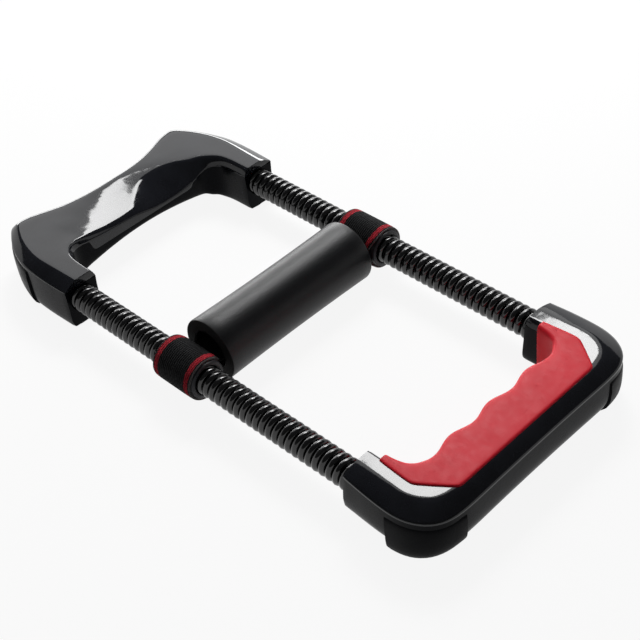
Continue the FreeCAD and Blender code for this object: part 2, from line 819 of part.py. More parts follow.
def make_plug(end, side, sign):
    """A round plug: its stem fills the end coils and its head lies behind the spring."""
    inner_radius = coil_radius - S.wire_diameter
    y = spring_side * sign
    back = end.from_face(S.socket_depth + S.plug_head_length)
    head_start = back - S.plug_head_length if end.way > 0 else back
    stem_start = head_start - S.plug_stem_length if end.way > 0 else head_start + S.plug_head_length
    name = f"{end.name}_plug_{side}"
    z = S.spring_height
    radius = S.plug_head_diameter / 2
    head = cylinder(name + "_head", radius, S.plug_head_length, (head_start, y, z), **ALONG_X)
    radius = inner_radius - S.plug_stem_gap
    stem = cylinder(name + "_stem", radius, S.plug_stem_length, (stem_start, y, z), **ALONG_X)
    solid = doc.addObject("Part::MultiFuse", name + "_solid")
    solid.Shapes = [head, stem]
    pin_x = end.from_face(S.socket_depth + S.plug_head_length / 2)
    hole_at = (pin_x, y, S.spring_height - coil_radius - S.wall)
    hole_length = S.coil_diameter + S.wall * 2
    hole = cylinder(name + "_hole", S.pin_diameter / 2 + S.pin_gap, hole_length, hole_at)
    plug = doc.addObject("Part::Cut", name)
    plug.Base = solid
    plug.Tool = hole
    plug.Label = name
    return plug


def make_pins(end):
    """The two steel cross pins that hold the plugs of one end."""
    pins = []
    bottom = S.spring_height - socket_radius - S.pin_seat
    for side, sign in SIDES:
        x = end.from_face(S.socket_depth + S.plug_head_length / 2)
        where = (x, spring_side * sign, bottom)
        name = f"{end.name}_pin_{side}"
        length = end.seam - S.joint_gap - bottom
        pins.append(cylinder(name, S.pin_diameter / 2, length, where))
    group = doc.addObject("Part::Compound", f"{end.name}_pins")
    group.Links = pins
    group.Label = f"{end.name}_pins"
    return group


def make_screws(end):
    """The pan-head screws that hold the two shells of one end together."""
    screws = []
    for n, (x, y, foot) in enumerate(screw_places(end)):
        name = f"{end.name}_screw_{n}"
        low = foot + S.screw_sink
        head = cylinder(name + "_head", S.screw_head / 2, S.screw_head_height, (x, y, low))
        above = low + S.screw_head_height
        shank = cylinder(name + "_shank", S.screw_diameter / 2, S.screw_length, (x, y, above))
        screw = doc.addObject("Part::MultiFuse", name)
        screw.Shapes = [head, shank]
        screws.append(screw)
    group = doc.addObject("Part::Compound", f"{end.name}_screws")
    group.Links = screws
    group.Label = f"{end.name}_screws"
    return group


# ---------------------------------------------------------------- springs, sleeves, strap, roller


def make_spring(side, sign):
    """One open-coiled spring from plug to plug."""
    name = f"spring_{side}"
    centre_radius = coil_radius - S.wire_diameter / 2
    path = doc.addObject("Part::Helix", name + "_path")
    length = S.free_length + S.socket_depth * 2 - S.wire_diameter
    bind(path, Pitch=S.coil_pitch, Height=length, Radius=centre_radius)
    path.SegmentLength = 1
    wire = doc.addObject("Part::Circle", name + "_wire")
    bind(wire, Radius=S.wire_diameter / 2)
    place(wire, x=centre_radius, axis=Vector(1, 0, 0), degrees=90)
    coil = doc.addObject("Part::Sweep", name)
    coil.Sections = [wire]
    coil.Spine = (path, [])
    coil.Solid = True
    coil.Frenet = True
    start = rest_face - S.socket_depth + S.wire_diameter / 2
    place(coil, start, spring_side * sign, S.spring_height, **ALONG_X)
    coil.Label = name
    return coil


def make_sleeve(side, sign):
    """A plastic sleeve that slides along the spring and carries the strap."""
    name = f"sleeve_{side}"
    start = S.roller_place - S.sleeve_length / 2
    where = (start, spring_side * sign, S.spring_height)
    outside = cylinder(name + "_outside", S.sleeve_diameter / 2, S.sleeve_length, where, **ALONG_X)
    bore = cylinder(name + "_bore", socket_radius, S.sleeve_length, where, **ALONG_X)
    sleeve = doc.addObject("Part::Cut", name)
    sleeve.Base = outside
    sleeve.Tool = bore
    sleeve.Label = name
    return sleeve


def make_strap():
    """The webbing: a loop round each sleeve, joined by a gathered double run through the foam."""
    inner = S.sleeve_diameter / 2 + S.strap_gap
    outer = inner + S.strap_thickness
    start = S.roller_place - S.strap_width / 2
    rings, holes = [], []
    for side, sign in SIDES:
        where = (start, spring_side * sign, S.spring_height)
        rings.append(cylinder(f"strap_ring_{side}", outer, S.strap_width, where, **ALONG_X))
        holes.append(cylinder(f"strap_hole_{side}", inner, S.strap_width, where, **ALONG_X))
    run = doc.addObject("Part::Box", "strap_run")
    half = spring_side - inner - S.strap_thickness / 2
    bind(run, Length=S.strap_neck_width, Width=half * 2, Height=S.strap_thickness * 2)
    corner_x = S.roller_place - S.strap_neck_width / 2
    place(run, corner_x, -half, S.spring_height - S.strap_thickness)
    solid = doc.addObject("Part::MultiFuse", "strap_solid")
    solid.Shapes = rings + [run]
    both_holes = doc.addObject("Part::MultiFuse", "strap_holes")
    both_holes.Shapes = holes
    strap = doc.addObject("Part::Cut", "roller_strap")
    strap.Base = solid
    strap.Tool = both_holes
    strap.Label = "roller_strap"
    return strap


def make_roller():
    """The foam tube that lies on the wrist, a little thinner at its middle."""
    body = new_body("foam_roller")
    half = S.roller_length / 2
    section = [
        corner(S.roller_bore, -half),
        corner(S.roller_end_radius, -half, bow=-S.roller_waist),
        corner(S.roller_end_radius, half),
        corner(S.roller_bore, half),
    ]
    foam = body.newObject("PartDesign::Revolution", "foam")
    foam.Profile = new_sketch(body, "foam_section", [section])
    foam.ReferenceAxis = (foam.Profile[0], ["V_Axis"])
    foam.Angle = 360
    place(body, S.roller_place, ZERO, S.roller_height)
    return body


# ---------------------------------------------------------------- build, check and write


def build():
    pieces = [
        make_rest_lower_shell(),
        make_rest_upper_shell(),
        make_grip_lower_shell(),
        make_grip_upper_shell(),
        make_finger_grip(),
    ]
    for end in (rest, grip):
        for side, sign in SIDES:
            pieces.append(make_pad(end, side, sign))
            pieces.append(make_plug(end, side, sign))
        pieces.append(make_pins(end))
        pieces.append(make_screws(end))
    for side, sign in SIDES:
        pieces.append(make_spring(side, sign))
        pieces.append(make_sleeve(side, sign))
    pieces.append(make_strap())
    pieces.append(make_roller())
    doc.recompute()
    return pieces


def check(pieces):
    """Stop on any failed object or unsound shape before anything is written."""
    for thing in doc.Objects:
        if "Invalid" in thing.State or "Error" in thing.State:
            raise RuntimeError(f"{thing.Name} failed: {thing.State}")
    for piece in pieces:
        shape = piece.Shape
        if shape.isNull() or not shape.isValid() or not shape.Solids:
            raise RuntimeError(f"{piece.Label} has no sound solid")


def write(pieces):
    os.makedirs("parts", exist_ok=True)
    for piece in pieces:
        piece.Shape.exportStep(f"parts/{piece.Label}.step")
        box = piece.Shape.optimalBoundingBox(True, False)
        print(
            f"{piece.Label:20s} solids {len(piece.Shape.Solids)}  volume {piece.Shape.Volume:9.1f}  "
            f"x {box.XMin:7.2f} {box.XMax:7.2f}  y {box.YMin:7.2f} {box.YMax:7.2f}  "
            f"z {box.ZMin:6.2f} {box.ZMax:6.2f}"
        )


all_pieces = build()
check(all_pieces)
write(all_pieces)
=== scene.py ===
import math

import bmesh
import bpy
from mathutils import Matrix, Vector


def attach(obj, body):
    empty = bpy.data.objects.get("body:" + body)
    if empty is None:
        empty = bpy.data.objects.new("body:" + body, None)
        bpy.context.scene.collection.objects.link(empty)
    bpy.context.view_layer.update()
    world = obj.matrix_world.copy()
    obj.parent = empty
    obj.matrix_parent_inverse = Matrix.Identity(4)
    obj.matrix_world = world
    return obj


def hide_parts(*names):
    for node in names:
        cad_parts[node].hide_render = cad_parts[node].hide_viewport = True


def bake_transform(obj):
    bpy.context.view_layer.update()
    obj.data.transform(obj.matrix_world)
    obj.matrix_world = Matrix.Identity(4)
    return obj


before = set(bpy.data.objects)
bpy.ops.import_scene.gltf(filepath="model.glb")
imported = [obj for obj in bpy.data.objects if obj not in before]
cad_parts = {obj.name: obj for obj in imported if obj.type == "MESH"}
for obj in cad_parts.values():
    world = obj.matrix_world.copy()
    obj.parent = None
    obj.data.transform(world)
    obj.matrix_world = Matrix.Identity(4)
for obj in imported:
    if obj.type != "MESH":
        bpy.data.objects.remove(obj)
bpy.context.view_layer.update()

# A wrist and hand grip strengthener lying on its corner pads. +X runs along the springs from the
# arm rest to the hand grip, +Y to the left spring, +Z up. Sizes are in millimetres, times MM.
bpy.ops.object.select_all(action="DESELECT")


# ---------------------------------------------------------------- camera
# The camera stands off the near corner of the hand grip and looks down at the middle of the
# object. Its turn is given by the directions of its right and its up.
MM = 0.001
CAMERA_PLACE = (391.1, -320.0, 449.8)
CAMERA_RIGHT = Vector((0.70948, 0.69867, -0.09223))
CAMERA_UP = Vector((-0.41722, 0.52189, 0.74401))
CAMERA_LENS = 78.49
CAMERA_SENSOR = 36

camera_data = bpy.data.cameras.new("camera")
camera_data.lens = CAMERA_LENS
camera_data.sensor_width = CAMERA_SENSOR
camera = bpy.data.objects.new("camera", camera_data)
bpy.context.scene.collection.objects.link(camera)
turn = Matrix((CAMERA_RIGHT, CAMERA_UP, CAMERA_RIGHT.cross(CAMERA_UP))).transposed()
camera.matrix_world = Matrix.Translation(Vector(CAMERA_PLACE) * MM) @ turn.to_4x4()
bpy.context.scene.camera = camera


# ---------------------------------------------------------------- springs
# Two open-coiled springs of hard steel wire, blackened and lacquered. Each end is held in a socket.
# Each spring is made as two lengths that meet under its sleeve.
SPRING_SIDE = 60
SPRING_HEIGHT = 15.5
SPRING_START = -103.6
SPRING_END = 119.6
WIRE = 3.8
WIRE_SIDES = 12
COIL_RADIUS = 5.3
COIL_PITCH = 4.08
STEPS_PER_TURN = 30
ROLLER_PLACE = -6.4
SLEEVE_HALF = 13.75
REST_FACE = -85
GRIP_FACE = 101
SIDES = (("left", 1), ("right", -1))


def set_down(piece, name):
    """Put the place of the piece into its mesh and leave its object at the origin."""
    piece.name = name
    piece.data.name = name
    bpy.ops.object.select_all(action="DESELECT")
    piece.select_set(True)
    bpy.context.view_layer.objects.active = piece
    bpy.ops.object.transform_apply(location=True, rotation=True, scale=True)
    bpy.ops.object.select_all(action="DESELECT")


def add_modifier(piece, kind, **settings):
    """Add one modifier and apply it."""
    modifier = piece.modifiers.new(kind.lower(), kind)
    for key, value in settings.items():
        setattr(modifier, key, value)
    bpy.context.view_layer.objects.active = piece
    bpy.ops.object.modifier_apply(modifier=modifier.name)


def new_material(name, colour, roughness, specular=0.5):
    """A material with one Principled shader."""
    material = bpy.data.materials.new(name)
    material.use_nodes = True
    shader = material.node_tree.nodes["Principled BSDF"]
    shader.inputs["Base Color"].default_value = (*colour, 1)
    shader.inputs["Roughness"].default_value = roughness
    shader.inputs["Specular IOR Level"].default_value = specular
    return material


def add_node(material, kind, settings=None, **inputs):
    """Add a shader node. Each input is a number, a colour, or an output of another node."""
    made = material.node_tree.nodes.new(kind)
    for key, value in (settings or {}).items():
        setattr(made, key, value)
    for key, value in inputs.items():
        socket = made.inputs[key.replace("_", " ")]
        if isinstance(value, bpy.types.NodeSocket):
            material.node_tree.links.new(value, socket)
        else:
            socket.default_value = value
    return made


def noise(material, scale, detail=2, stretch=(1, 1, 1)):
    """Noise on the piece's own coordinates. scale counts the grains per metre."""
    place = add_node(material, "ShaderNodeTexCoord").outputs["Object"]
    mapping = add_node(material, "ShaderNodeMapping", Vector=place, Scale=stretch)
    grain = add_node(
        material, "ShaderNodeTexNoise", Vector=mapping.outputs[0], Scale=scale, Detail=detail
    )
    return grain.outputs[0]


def remap(material, value, old, new, kind="LINEAR"):
    """Carry a value from its old range to a new one, and hold it at the ends."""
    made = add_node(material, "ShaderNodeMapRange", {"interpolation_type": kind}, Value=value)
    for name, number in zip(("From Min", "From Max", "To Min", "To Max"), (*old, *new)):
        made.inputs[name].default_value = number
    return made.outputs[0]


def spread(material, grain, low, high):
    """Carry the middle part of noise, which runs from 0 to 1, to the range from low to high."""
    return remap(material, grain, (0.3, 0.7), (low, high))


def mix_colours(material, share, first, second):
    """Mix two colours. Each is three numbers or an output of another node."""
    made = add_node(material, "ShaderNodeMix", {"data_type": "RGBA"})
    material.node_tree.links.new(share, made.inputs[0])
    for socket, colour in ((made.inputs[6], first), (made.inputs[7], second)):
        if isinstance(colour, bpy.types.NodeSocket):
            material.node_tree.links.new(colour, socket)
        else:
            socket.default_value = (*colour, 1)
    return made.outputs[2]


def set_socket(material, name, value):
    """Link an output to an input of the material's Principled shader."""
    material.node_tree.links.new(value, material.node_tree.nodes["Principled BSDF"].inputs[name])


def add_bump(material, height, depth, strength=1.0):
    """Relief of a given depth in metres."""
    bump = add_node(material, "ShaderNodeBump", Height=height, Distance=depth, Strength=strength)
    set_socket(material, "Normal", bump.outputs[0])


def black_lacquer():
    """Lacquer on spring wire: nearly black, glossy, a little uneven from the dip."""
    material = new_material("spring_lacquer", (0.003, 0.003, 0.004), 0.17, 0.6)
    wear = noise(material, 420, 3)
    set_socket(material, "Roughness", spread(material, wear, 0.14, 0.2))
    share = spread(material, wear, 0, 1)
    tone = mix_colours(material, share, (0.002, 0.002, 0.003), (0.005, 0.005, 0.006))
    set_socket(material, "Base Color", tone)
    add_bump(material, noise(material, 900, 2), 0.00003)
    return material


def coil(name, sign, start, end):
    """A length of coil from one x to another, on the phase of the whole spring."""
    turns = (end - start) / COIL_PITCH
    phase = (start - SPRING_START) / COIL_PITCH * 2 * math.pi
    steps = round(turns * STEPS_PER_TURN)
    bpy.ops.mesh.primitive_circle_add(
        vertices=WIRE_SIDES, radius=WIRE / 2 * MM, fill_type="NOTHING"
    )
    piece = bpy.context.object
    # the section of the wire stands in a plane with the axis of the spring, below it at first
    piece.data.transform(Matrix.Rotation(math.pi / 2, 4, "X"))
    piece.data.transform(Matrix.Translation((0, 0, -COIL_RADIUS * MM)))
    piece.data.transform(Matrix.Rotation(-phase, 4, "X"))
    add_modifier(
        piece, "SCREW", axis="X", angle=-turns * 2 * math.pi, screw_offset=(end - start) * MM,
        steps=steps, render_steps=steps, use_smooth_shade=True,
    )
    bpy.ops.object.mode_set(mode="EDIT")
    bpy.ops.mesh.select_all(action="SELECT")
    bpy.ops.mesh.fill_holes(sides=WIRE_SIDES)
    bpy.ops.mesh.select_all(action="SELECT")
    bpy.ops.mesh.normals_make_consistent(inside=False)
    bpy.ops.object.mode_set(mode="OBJECT")
    piece.location = Vector((start, SPRING_SIDE * sign, SPRING_HEIGHT)) * MM
    set_down(piece, name)
    piece.data.materials.append(LACQUER)
    return piece


LACQUER = black_lacquer()
for side, sign in SIDES:
    rear = coil(f"rear_coil_{side}", sign, SPRING_START, ROLLER_PLACE)
    front = coil(f"front_coil_{side}", sign, ROLLER_PLACE, SPRING_END)
    # the coils stay straight as far as the sleeves slide
    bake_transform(rear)
    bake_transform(front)
    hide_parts(f"spring_{side}")
    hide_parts(f"spring_{side}")


# ---------------------------------------------------------------- arm rest shells
# Two glossy black mouldings screwed together from below. The lower one holds the springs in its
# arms. The upper one has sloping edges, a saddle for the wrist and a hollow at the left of it.
SEAM = 23.5
TOP = 28
UNDERSIDE = 2.5
ARM_UNDERSIDE = 1.2
ARM_START = -120
BLOCK_BOTTOM = 15.5
BLOCK_HALF = 45
BAY_EDGE = -109
ARCH_RISE = 8
ARCH_SPAN = 50
SADDLE_START = -137
SADDLE_END = -107
SADDLE_TILT = math.tan(math.radians(14))
SADDLE_RADIUS = 180
SADDLE_SOFTNESS = 0.9
SOCKET_RADIUS = 7.3
SOCKET_LENGTH = 42


def extrude_rings(name, rings, creases=()):
    """A closed body, extruded ring by ring and rounded. creases are pairs of a point's number in
    the rings and how sharp the line through it is."""
    bpy.ops.mesh.primitive_circle_add(vertices=len(rings[0]), radius=10 * MM, fill_type="NGON")
    piece = bpy.context.object
    piece.name = name
    piece.data.name = name
    bpy.ops.object.mode_set(mode="EDIT")
    # a point is told by its exact place: which ring it is in, and its number there
    placed, before = {}, {}
    for n, points in enumerate(rings):
        if n:
            bpy.ops.mesh.extrude_region_move()
        shape = bmesh.from_edit_mesh(piece.data)
        now = {}
        for number, vert in enumerate(v for v in shape.verts if v.select):
            number = before[tuple(vert.co)] if n else number
            vert.co = Vector(points[number]) * MM
            now[tuple(vert.co)] = number
            placed[tuple(vert.co)] = (n, number)
        bmesh.update_edit_mesh(piece.data)
        before = now
    crease = shape.edges.layers.float.new("crease_edge")
    sharpness = dict(creases)
    for edge in shape.edges:
        (a, number_a), (b, number_b) = (placed[tuple(v.co)] for v in edge.verts)
        if a != b:
            edge[crease] = sharpness.get(number_a, 0)
        elif a in (0, len(rings) - 1):
            edge[crease] = 0.85
    bmesh.update_edit_mesh(piece.data)
    bpy.ops.mesh.select_all(action="SELECT")
    bpy.ops.mesh.normals_make_consistent(inside=False)
    bpy.ops.object.mode_set(mode="OBJECT")
    add_modifier(piece, "SUBSURF", levels=2, render_levels=2)
    bpy.ops.object.shade_smooth_by_angle(angle=math.radians(50))
    set_down(piece, name)
    return piece


def ring(outer, inner, profile):
    """A ring across an arm or bar. Each profile point is (share, run, height): a share of the way
    from the outer to the inner line, and a run in millimetres further that way."""
    across = Vector(inner) - Vector(outer)
    along = across.normalized()
    points = []
    for share, run, height in profile:
        spot = Vector(outer) + across * share + along * run
        points.append((spot.x, spot.y, height(spot.x, spot.y) if callable(height) else height))
    return points


def both_halves(stations, profile):
    """Rings round the whole U from the stations of its +Y half, listed from the socket inwards.
    profile gets a station and the sign of the side."""
    left = [ring(s["outer"], s["inner"], profile(s, 1)) for s in stations]
    right = [ring(s["outer"], s["inner"], profile(s, -1)) for s in stations[:-1]]
    return left + [[(x, -y, z) for x, y, z in points] for points in reversed(right)]


# Round the arm rest from the socket face to the middle: the outer and inner line, the slope at the
# outside and the height where it starts, then how wide the inner edge is at the left and the right
# and how high it ends at the bay.
REST_STATIONS = [
    {"outer": outer, "inner": inner, "slope": slope, "edge": edge, "left": left, "right": right}
    for outer, inner, slope, edge, left, right in (
        ((REST_FACE, 69.5), (REST_FACE, 50.5), 7.4, 23.9, (3.2, 24), (2.6, 24)),
        ((-92, 69.8), (-92, 50.5), 7.4, 23.9, (3.2, 24), (2.6, 24)),
        ((-104, 70.2), (-100, 50.4), 7.4, 23.9, (3.2, 24), (2.4, 24)),
        ((-117, 69.8), (-104, 49.5), 7.2, 23.9, (3.2, 23.8), (2.0, 24)),
        ((-123, 68.6), (-107, 47.6), 6.9, 23.9, (3.2, 23.4), (1.7, 23.9)),
        ((-131, 66.2), (-108.8, 45.2), 6.4, 24.0, (3.8, 23), (1.5, 23.8)),
        ((-138.5, 62.6), (-109.7, 42.5), 5.8, 24.1, (4.8, 22), (1.5, 23.6)),
        ((-144.5, 58.6), (-110, 40.3), 5.2, 24.2, (5.6, 21), (1.7, 23.4)),
        ((-148.2, 55.8), (-110, 38.8), 4.8, 24.2, (6.1, 20.3), (1.8, 23.2)),
        ((-149.8, 53.6), (-110, 37.5), 4.5, 24.1, (6.6, 19.7), (1.9, 23)),
        ((-149.7, 51), (-110, 36), 4.3, 24.0, (7.6, 19.2), (2.0, 22.8)),
        ((-148.9, 46.5), (-110, 34.6), 4.2, 23.9, (8.8, 18.8), (2.2, 22.6)),
        ((-148.6, 44.9), (-110, 33.5), 4.2, 23.9, (9.6, 18.5), (2.3, 22.5)),
        ((-146.6, 39.5), (-110, 30), 4.1, 23.8, (12.2, 18), (2.5, 22)),
        ((-143.9, 32.5), (-110, 26), 4.0, 23.8, (14.2, 17.6), (2.4, 21.6)),
        ((-141.8, 25), (-110, 21.5), 4.0, 23.8, (15.6, 17.4), (2.2, 21.3)),
        ((-140.6, 16), (-110, 15), 4.0, 23.8, (16, 17.6), (3.2, 21.1)),
        ((-140.4, 11.8), (-110, 11.5), 4.0, 23.8, (15.2, 17.8), (3.8, 20.9)),
        ((-140.2, 8), (-110, 8), 4.0, 23.8, (13.4, 18.1), (4.4, 20.7)),
        ((-140.2, 4), (-110, 4), 4.0, 23.8, (10.3, 18.8), (5.4, 20.4)),
        ((-140.2, 0), (-110, 0), 4.0, 23.8, (7.3, 19.7), (7.3, 19.7)),
    )
]
for s in REST_STATIONS:
    s["base"] = SEAM if s["outer"][1] > BLOCK_HALF else BLOCK_BOTTOM


def rest_surface(x, y):
    """The upper surface: level at the outer end, and falling to the bay as a saddle."""
    fall = (min(x, SADDLE_END) - SADDLE_START) * SADDLE_TILT
    drop = max(fall - y * y / (SADDLE_RADIUS * 2), 0)
    return TOP - drop * drop / (drop + SADDLE_SOFTNESS)


def arch_height(y):
    """The underside of the arm rest: an arch between its feet."""
    share = min(abs(y) / ARCH_SPAN, 1)
    return UNDERSIDE + ARCH_RISE * (1 - share * share)


def rest_top_profile(s, sign):
    """The upper shell: slope, saddle, the edge that rolls down to the bay, and the flat below."""
    base, slope, edge = s["base"], s["slope"], s["edge"]
    width, low = s["left"] if sign > 0 else s["right"]
    way = (Vector(s["inner"]) - Vector(s["outer"])).normalized()
    ridge = rest_surface(*(Vector(s["inner"]) - way * width))
    rise = ridge - low
    # the roll is hollow at the left and round at the right
    near, far = (0.31, 0.66) if sign > 0 and width > 4 else (0.45, 0.82)
    return [
        (0, 0, base),
        (0, 0, edge),
        (0, slope * 0.5, (edge + TOP) / 2 + 0.3),
        (0, slope, rest_surface),
        (1 / 3, (slope * 2 - width) / 3, rest_surface),
        (2 / 3, (slope - width * 2) / 3, rest_surface),
        (1, -width, ridge),
        (1, -width * 0.62, low + rise * far),
        (1, -width * 0.28, low + rise * near),
        (1, 0, low),
        (1, 0, min(base, low - 0.5)),
        (0.8, 0, min(base, low - 0.5)),
        (0.2, 0, base),
    ]


def rest_bottom_profile(s, sign):
    """The lower shell: outer wall, arched underside, and the wall at the bay."""
    x, y = s["outer"]
    if abs(y) < ARCH_SPAN:
        low = arch_height(y)
    else:
        low = UNDERSIDE if x < ARM_START else ARM_UNDERSIDE
    low_inner = arch_height(s["inner"][1]) if s["inner"][0] < BAY_EDGE else low
    top = s["base"] - 0.15
    edge_low = s["left"][1] if sign > 0 else s["right"][1]
    inner_top = min(top, edge_low - 0.65)
    return [
        (0, 0, top),
        (0, 0, low + 1.6),
        (0, 1.2, low + 0.2),
        (0.3, 0, low),
        (0.7, 0, low_inner),
        (1, -1.6, low_inner + 0.3),
        (1, 0, low_inner + 2.2),
        (1, 0, inner_top),
        (0.8, 0, inner_top),
        (0.2, 0, top),
    ]


def cut_sockets(piece, face):
    """Bore the two spring sockets into the arms."""
    for side, sign in SIDES:
        bpy.ops.mesh.primitive_cylinder_add(
            vertices=48, radius=SOCKET_RADIUS * MM, depth=SOCKET_LENGTH * MM
        )
        cutter = bpy.context.object
        cutter.data.transform(Matrix.Rotation(math.pi / 2, 4, "Y"))
        cutter.location = Vector((face, SPRING_SIDE * sign, SPRING_HEIGHT)) * MM
        set_down(cutter, "cutter")
        add_modifier(piece, "BOOLEAN", operation="DIFFERENCE", object=cutter, solver="EXACT")
        bpy.data.objects.remove(cutter)


def shell_plastic(name, dark, light, gloss, specular):
    """Glossy moulded plastic with faint flow marks, fine dust and a soft orange peel."""
    material = new_material(name, dark, gloss, specular)
    share = spread(material, noise(material, 60, 4), 0, 1)
    set_socket(material, "Base Color", mix_colours(material, share, dark, light))
    marks = noise(material, 240, 5, (1, 0.4, 1))
    set_socket(material, "Roughness", spread(material, marks, gloss * 0.8, gloss * 1.35))
    add_bump(material, noise(material, 130, 2), 0.00012, 0.5)
    return material


# One black plastic is made twice. The upper shells' copy has its colour painted lighter, as painted
# light on their tops. The lower shells' copy is painted darker and duller, as painted shade on
# their sides.
LIT_LID_PLASTIC = shell_plastic(
    "lit_lid_plastic", (0.006, 0.0065, 0.009), (0.012, 0.013, 0.017), gloss=0.07, specular=0.34
)
SHADED_SHELL_PLASTIC = shell_plastic(
    "shell_plastic", (0.0015, 0.0018, 0.003), (0.003, 0.0035, 0.0055), gloss=0.22, specular=0.04
)

rest_top = extrude_rings(
    "rest_top", both_halves(REST_STATIONS, rest_top_profile),
    ((0, 1), (1, 0.6), (3, 0.35), (6, 0.45), (9, 0.4), (10, 1), (11, 1), (12, 1)),
)
rest_top.data.materials.append(LIT_LID_PLASTIC)
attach(rest_top, "arm_rest")
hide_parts("rest_upper_shell")

rest_bottom = extrude_rings(
    "rest_bottom", both_halves(REST_STATIONS, rest_bottom_profile), ((0, 1), (7, 1), (8, 1), (9, 1))
)
cut_sockets(rest_bottom, REST_FACE)
rest_bottom.data.materials.append(SHADED_SHELL_PLASTIC)
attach(rest_bottom, "arm_rest")
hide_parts("rest_lower_shell")


# ---------------------------------------------------------------- arm rest pads and inner parts
# A rubber pad wraps each outer corner and has the sole that the object stands on. The plugs, pins
# and screws are hidden in the shells.
REST_PAD_TOP = 22.5
REST_PAD_PROUD = 1.0
REST_CORNER = REST_STATIONS[3:13]
REST_SOLES = (1.6, 1.8, 2, 2.2, 2.4, 2.6, 3, 4, 5, 6)


def pad_rubber():
    """Satin black rubber with a fine moulded grain."""
    material = new_material("pad_rubber", (0.0012, 0.0014, 0.0022), 0.38, 0.03)
    set_socket(material, "Roughness", spread(material, noise(material, 90, 3), 0.3, 0.46))
    add_bump(material, noise(material, 1500, 3), 0.00006)
    return material


def pad_profile(top, sole, proud):
    """Rounded down to a sole that is set in from the outside."""
    return [
        (0, 0.6, top),
        (0, -proud * 0.7, top - 1.1),
        (0, -proud, top - 6),
        (0, sole * 0.06 - proud, 7.5),
        (0, sole * 0.25 - proud, 3.6),
        (0, sole * 0.6 - proud * 0.5, 1.2),
        (0, sole, 0),
        (0, sole + 9, 0),
        (0, sole + 9.5, UNDERSIDE + 0.3),
        (0, 3, UNDERSIDE + 1.5),
        (0, 3, top),
    ]


def corner_pad(name, stations, sign, top, soles, proud):
    """A pad swept round one corner. soles is how far the sole is set in at each station."""
    rings = [
        ring(s["outer"], s["inner"], pad_profile(top, sole, proud))
        for s, sole in zip(stations, soles)
    ]
    rings = [[(x, y * sign, z) for x, y, z in points] for points in rings]
    piece = extrude_rings(name, rings, ((6, 0.5), (7, 0.6)))
    piece.data.materials.append(PAD_RUBBER)
    return piece


def steel():
    """Plain turned steel."""
    material = new_material("plain_steel", (0.55, 0.55, 0.56), 0.32)
    material.node_tree.nodes["Principled BSDF"].inputs["Metallic"].default_value = 1
    set_socket(material, "Roughness", spread(material, noise(material, 700, 3), 0.25, 0.42))
    return material


def plug_plastic():
    """Dull grey plastic as it comes from the mould."""
    material = new_material("plug_plastic", (0.05, 0.05, 0.05), 0.5)
    set_socket(material, "Roughness", spread(material, noise(material, 500, 3), 0.42, 0.6))
    return material


def dress(node, material):
    """Give a CAD node that keeps its own shape a finished material."""
    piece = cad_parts[node]
    piece.data.materials.clear()
    piece.data.materials.append(material)


PAD_RUBBER = pad_rubber()
STEEL = steel()
PLUG_PLASTIC = plug_plastic()
for side, sign in SIDES:
    pad = corner_pad(
        f"rest_corner_{side}", REST_CORNER, sign, REST_PAD_TOP, REST_SOLES, REST_PAD_PROUD
    )
    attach(pad, "arm_rest")
    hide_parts(f"rest_pad_{side}")
    dress(f"rest_plug_{side}", PLUG_PLASTIC)
dress("rest_pins", STEEL)
dress("rest_screws", STEEL)


# ---------------------------------------------------------------- sleeves
# Plastic sleeves that slide along the springs and carry the webbing. Their ends show as dark grey
# rings round the coils.
SLEEVE_RADIUS = 9.6
SLEEVE_BORE = 7.3


def sleeve_plastic():
    """Dark grey plastic, matt, with fine turning marks on the ends."""
    material = new_material("sleeve_plastic", (0.04, 0.04, 0.045), 0.42, 0.2)
    share = spread(material, noise(material, 300, 4), 0, 1)
    tone = mix_colours(material, share, (0.02, 0.02, 0.024), (0.04, 0.04, 0.045))
    set_socket(material, "Base Color", tone)
    add_bump(material, noise(material, 1200, 2), 0.00005)
    return material


def spin(name, outline, centre, axis):
    """Spin a closed outline of (radius, place along the axis) round that axis."""
    axis = Vector(axis)
    bpy.ops.mesh.primitive_circle_add(vertices=len(outline), radius=10 * MM, fill_type="NOTHING")
    piece = bpy.context.object
    bpy.ops.object.mode_set(mode="EDIT")
    shape = bmesh.from_edit_mesh(piece.data)
    for vert, (radius, along) in zip(shape.verts, outline):
        vert.co = (Vector(centre) + axis * along + Vector((0, 0, radius))) * MM
    bmesh.update_edit_mesh(piece.data)
    bpy.ops.mesh.spin(steps=72, angle=2 * math.pi, center=Vector(centre) * MM, axis=axis)
    bpy.ops.mesh.select_all(action="SELECT")
    bpy.ops.mesh.remove_doubles(threshold=0.001 * MM)
    bpy.ops.mesh.normals_make_consistent(inside=False)
    bpy.ops.object.mode_set(mode="OBJECT")
    bpy.ops.object.shade_smooth_by_angle(angle=math.radians(40))
    set_down(piece, name)
    return piece


SLEEVE_PLASTIC = sleeve_plastic()
for side, sign in SIDES:
    outline = [
        (SLEEVE_BORE + 0.6, -SLEEVE_HALF),
        (SLEEVE_RADIUS - 0.7, -SLEEVE_HALF),
        (SLEEVE_RADIUS - 0.2, -SLEEVE_HALF + 0.3),
        (SLEEVE_RADIUS, -SLEEVE_HALF + 0.9),
        (SLEEVE_RADIUS, SLEEVE_HALF - 0.9),
        (SLEEVE_RADIUS - 0.2, SLEEVE_HALF - 0.3),
        (SLEEVE_RADIUS - 0.7, SLEEVE_HALF),
        (SLEEVE_BORE + 0.6, SLEEVE_HALF),
        (SLEEVE_BORE, SLEEVE_HALF - 0.6),
        (SLEEVE_BORE, -SLEEVE_HALF + 0.6),
    ]
    centre = (ROLLER_PLACE, SPRING_SIDE * sign, SPRING_HEIGHT)
    sleeve = spin(f"slide_sleeve_{side}", outline, centre, (1, 0, 0))
    sleeve.data.materials.append(SLEEVE_PLASTIC)
    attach(sleeve, "roller_carriage")
    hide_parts(f"sleeve_{side}")
